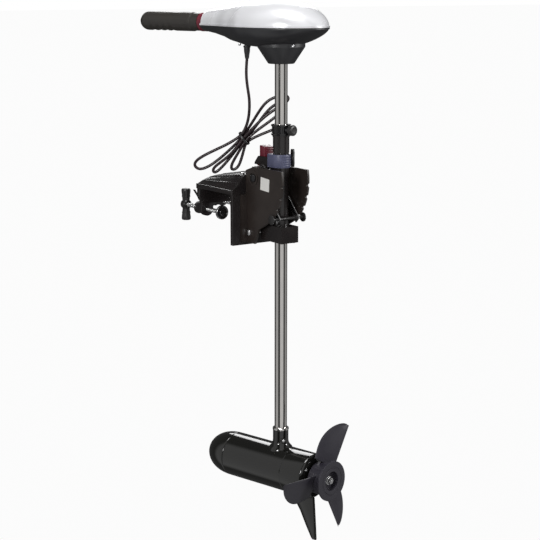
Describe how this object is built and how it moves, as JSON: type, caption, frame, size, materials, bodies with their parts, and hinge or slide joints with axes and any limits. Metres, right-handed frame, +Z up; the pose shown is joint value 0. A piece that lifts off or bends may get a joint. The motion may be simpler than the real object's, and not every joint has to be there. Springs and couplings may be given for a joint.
{
  "type": "electric outboard motor",
  "caption": "Transom-mounted electric outboard: steerable tiller head, long shaft in a tilting notched bracket with screw clamps, and a submerged motor with propeller and skeg.",
  "frame": {"origin": "middle of the bracket's forward face, which lies against the boat's transom, level with the clamp screws", "axes": "+X forward into the boat, +Y to port, +Z up"},
  "size_m": [0.5831, 0.2261, 1.1941],
  "materials": {
    "silver_cover": "pearl silver",
    "charcoal_plastic": "satin moulded",
    "black_plastic": "satin moulded",
    "grip_rubber": "soft moulded",
    "red_plastic": "moulded",
    "slate_plastic": "moulded",
    "stainless": "polished tube",
    "zinc_steel": "zinc plated",
    "black_paint": "die cast, black gloss paint",
    "prop_plastic": "glass-filled moulding",
    "copper": "turned",
    "ferrite": "sintered",
    "seal_rubber": "moulded",
    "white_nylon": "moulded",
    "board_green": "coated board",
    "cable_rubber": "glossy sheath"
  },
  "bodies": {
    "bracket": {"transom_hook": "black_plastic", "side_plate_port": "black_plastic", "side_plate_starboard": "black_plastic", "tilt_pivot_bolt": "zinc_steel", "anchor_bolt": "zinc_steel"},
    "clamp_pad_port": {"clamp_pad_port": "zinc_steel"},
    "clamp_screw_port": {"clamp_screw_port": "zinc_steel", "clamp_handle_port": "black_plastic"},
    "clamp_pad_starboard": {"clamp_pad_starboard": "zinc_steel"},
    "clamp_screw_starboard": {"clamp_screw_starboard": "zinc_steel", "clamp_handle_starboard": "black_plastic"},
    "yoke": {"yoke": "black_plastic", "steering_band": "slate_plastic", "upper_bush": "white_nylon", "lower_bush": "white_nylon", "lever_pin": "zinc_steel"},
    "steering_knob": {"steering_knob": "black_plastic"},
    "lock": {"lock_stirrup": "zinc_steel", "lock_pin": "black_plastic"},
    "release_lever": {"release_lever": "red_plastic"},
    "collar": {"depth_collar": "black_plastic"},
    "collar_knob": {"collar_knob": "black_plastic"},
    "shaft": {"main_shaft": "stainless", "shaft_wires": "cable_rubber", "head_housing": "charcoal_plastic", "head_cover": "silver_cover", "control_board": "board_green", "speed_switch": "white_nylon", "cable_gland": "black_plastic", "shaft_clamp_ring": "zinc_steel", "battery_lead": "cable_rubber", "lead_hank": "cable_rubber", "terminal_positive": "red_plastic", "terminal_negative": "black_plastic", "motor_nose": "black_paint", "motor_can": "black_paint", "rear_bell": "black_paint", "skeg": "black_paint", "socket_ring": "stainless", "magnet_port": "ferrite", "magnet_starboard": "ferrite", "brush_carrier": "black_plastic", "brush_port": "ferrite", "brush_starboard": "ferrite", "front_bearing": "stainless", "rear_bearing": "stainless", "shaft_seal": "seal_rubber"},
    "speed_control": {"speed_rod": "zinc_steel", "handle_ring": "red_plastic"},
    "handle": {"handle_tube": "stainless", "twist_grip": "grip_rubber"},
    "rotor": {"motor_axle": "stainless", "armature": "zinc_steel", "commutator": "copper", "drive_pin": "stainless", "propeller": "prop_plastic", "prop_washer": "stainless", "prop_nut": "stainless"}
  },
  "joints": [
    {"name": "clamp_travel_port", "type": "slide", "parent": "bracket", "child": "clamp_pad_port", "axis": [1, 0, 0], "range_m": [-0.046, 0.04]},
    {"name": "clamp_turn_port", "type": "hinge", "parent": "clamp_pad_port", "child": "clamp_screw_port", "pos_m": [0.2235, 0.05, 0], "axis": [1, 0, 0], "range_deg": [-6630, 5765]},
    {"name": "clamp_travel_starboard", "type": "slide", "parent": "bracket", "child": "clamp_pad_starboard", "axis": [1, 0, 0], "range_m": [-0.046, 0.04]},
    {"name": "clamp_turn_starboard", "type": "hinge", "parent": "clamp_pad_starboard", "child": "clamp_screw_starboard", "pos_m": [0.2235, -0.05, 0], "axis": [1, 0, 0], "range_deg": [-6630, 5765]},
    {"name": "tilt", "type": "hinge", "parent": "bracket", "child": "yoke", "pos_m": [-0.041, 0, 0.089], "axis": [0, 1, 0], "range_deg": [0, 56], "deforming": ["battery_lead", "lead_hank", "terminal_positive", "terminal_negative"]},
    {"name": "release_turn", "type": "hinge", "parent": "yoke", "child": "release_lever", "pos_m": [-0.039, 0, 0.124], "axis": [0, 1, 0], "range_deg": [0, 18]},
    {"name": "lock_travel", "type": "slide", "parent": "yoke", "child": "lock", "axis": [-0.682, 0, -0.7314], "range_m": [0, 0.006], "stiffness_N_per_m": 800, "springref_m": -0.008},
    {"name": "steering_tension", "type": "hinge", "parent": "yoke", "child": "steering_knob", "pos_m": [-0.102, -0.0209, 0.1355], "axis": [0, -1, 0], "range_deg": [-90, 90]},
    {"name": "steer", "type": "hinge", "parent": "yoke", "child": "collar", "pos_m": [-0.095, 0, 0.1984], "axis": [0, 0, 1], "range_deg": [-180, 180]},
    {"name": "collar_screw", "type": "hinge", "parent": "collar", "child": "collar_knob", "pos_m": [-0.12423, -0.00675, 0.1984], "axis": [-0.9744, -0.225, 0], "range_deg": [0, 720]},
    {"name": "depth", "type": "slide", "parent": "collar", "child": "shaft", "axis": [0, 0, 1], "range_m": [0, 0.385]},
    {"name": "speed_twist", "type": "hinge", "parent": "shaft", "child": "speed_control", "pos_m": [0.13008, 0.05196, 0.4255], "axis": [0.9744, 0.225, 0], "range_deg": [-60, 90]},
    {"name": "handle_reach", "type": "slide", "parent": "speed_control", "child": "handle", "axis": [0.9744, 0.225, 0], "range_m": [0, 0.12]},
    {"name": "propeller_spin", "type": "hinge", "parent": "shaft", "child": "rotor", "pos_m": [-0.22167, -0.02924, -0.568], "axis": [-0.9744, -0.225, 0], "continuous": true}
  ],
  "couplings": [
    {"joint": "clamp_turn_port", "follows": "clamp_travel_port", "rad_per_m": 2513.3},
    {"joint": "clamp_turn_starboard", "follows": "clamp_travel_starboard", "rad_per_m": 2513.3},
    {"joint": "release_turn", "follows": "lock_travel", "rad_per_m": 52.3}
  ]
}
